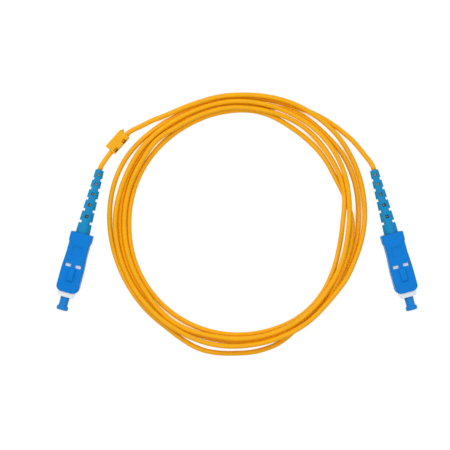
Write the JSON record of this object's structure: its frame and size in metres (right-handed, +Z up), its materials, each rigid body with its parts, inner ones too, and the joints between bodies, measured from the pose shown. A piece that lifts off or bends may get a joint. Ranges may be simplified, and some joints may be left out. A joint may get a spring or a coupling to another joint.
{
  "type": "fibre optic patch cord",
  "caption": "Simplex fibre optic patch cord wound in a loose ring, with a square push-pull plug, slotted strain-relief boot and dust cap at each end and a marker clip.",
  "frame": {"origin": "on the surface that the plugs lie on, below the middle of the box round both plugs with their boots and dust caps", "axes": "+X from the left plug to the right plug, +Y from the dust caps towards the boots and the ring's far side, +Z up from the surface"},
  "size_m": [0.1474, 0.1074, 0.0082],
  "materials": {
    "grip_blue": "moulded, satin",
    "boot_blue": "moulded rubber, matte",
    "cap_blue": "soft moulded plastic, satin",
    "frame_white": "moulded, satin",
    "zirconia": "polished",
    "flange_steel": "turned",
    "spring_steel": "drawn wire",
    "stop_nickel": "nickel plated",
    "crimp_aluminium": "plain",
    "yarn_yellow": "loose aramid strands",
    "tube_white": "extruded",
    "buffer_white": "extruded",
    "jacket_yellow": "extruded, smooth",
    "clip_yellow": "moulded"
  },
  "bodies": {
    "cord": {"plug_frame_left": "frame_white", "spring_left": "spring_steel", "spring_stop_left": "stop_nickel", "guide_tube_left": "tube_white", "fibre_buffer_left": "buffer_white", "aramid_yarn_left": "yarn_yellow", "crimp_sleeve_left": "crimp_aluminium", "jacket_end_left": "jacket_yellow", "boot_left": "boot_blue", "lead_left": "jacket_yellow", "coil": "jacket_yellow", "lead_right": "jacket_yellow", "boot_right": "boot_blue", "jacket_end_right": "jacket_yellow", "crimp_sleeve_right": "crimp_aluminium", "aramid_yarn_right": "yarn_yellow", "fibre_buffer_right": "buffer_white", "guide_tube_right": "tube_white", "spring_stop_right": "stop_nickel", "spring_right": "spring_steel", "plug_frame_right": "frame_white"},
    "ferrule_unit_left": {"ferrule_left": "zirconia", "ferrule_flange_left": "flange_steel"},
    "ferrule_unit_right": {"ferrule_right": "zirconia", "ferrule_flange_right": "flange_steel"},
    "dust_cap_left": {"dust_cap_left": "cap_blue"},
    "dust_cap_right": {"dust_cap_right": "cap_blue"},
    "grip_left": {"grip_left": "grip_blue"},
    "grip_right": {"grip_right": "grip_blue"},
    "marker_clip": {"marker_clip": "clip_yellow"}
  },
  "joints": [
    {"name": "grip_left_slide", "type": "slide", "parent": "cord", "child": "grip_left", "axis": [0.263, 0.9648, 0], "range_m": [0, 0.0016]},
    {"name": "grip_right_slide", "type": "slide", "parent": "cord", "child": "grip_right", "axis": [-0.263, 0.9648, 0], "range_m": [0, 0.0016]},
    {"name": "ferrule_left_press", "type": "slide", "parent": "cord", "child": "ferrule_unit_left", "axis": [0.263, 0.9648, 0], "range_m": [0, 0.001], "stiffness_N_per_m": 1000, "springref_m": -0.005, "deforming": ["spring_left"]},
    {"name": "ferrule_right_press", "type": "slide", "parent": "cord", "child": "ferrule_unit_right", "axis": [-0.263, 0.9648, 0], "range_m": [0, 0.001], "stiffness_N_per_m": 1000, "springref_m": -0.005, "deforming": ["spring_right"]},
    {"name": "dust_cap_left_pull", "type": "slide", "parent": "ferrule_unit_left", "child": "dust_cap_left", "axis": [-0.263, -0.9648, 0], "range_m": [0, 0.01]},
    {"name": "dust_cap_right_pull", "type": "slide", "parent": "ferrule_unit_right", "child": "dust_cap_right", "axis": [0.263, -0.9648, 0], "range_m": [0, 0.01]},
    {"name": "marker_clip_slide", "type": "slide", "parent": "cord", "child": "marker_clip", "axis": [0.6691, 0.7431, 0], "range_m": [-0.001, 0.001]}
  ]
}
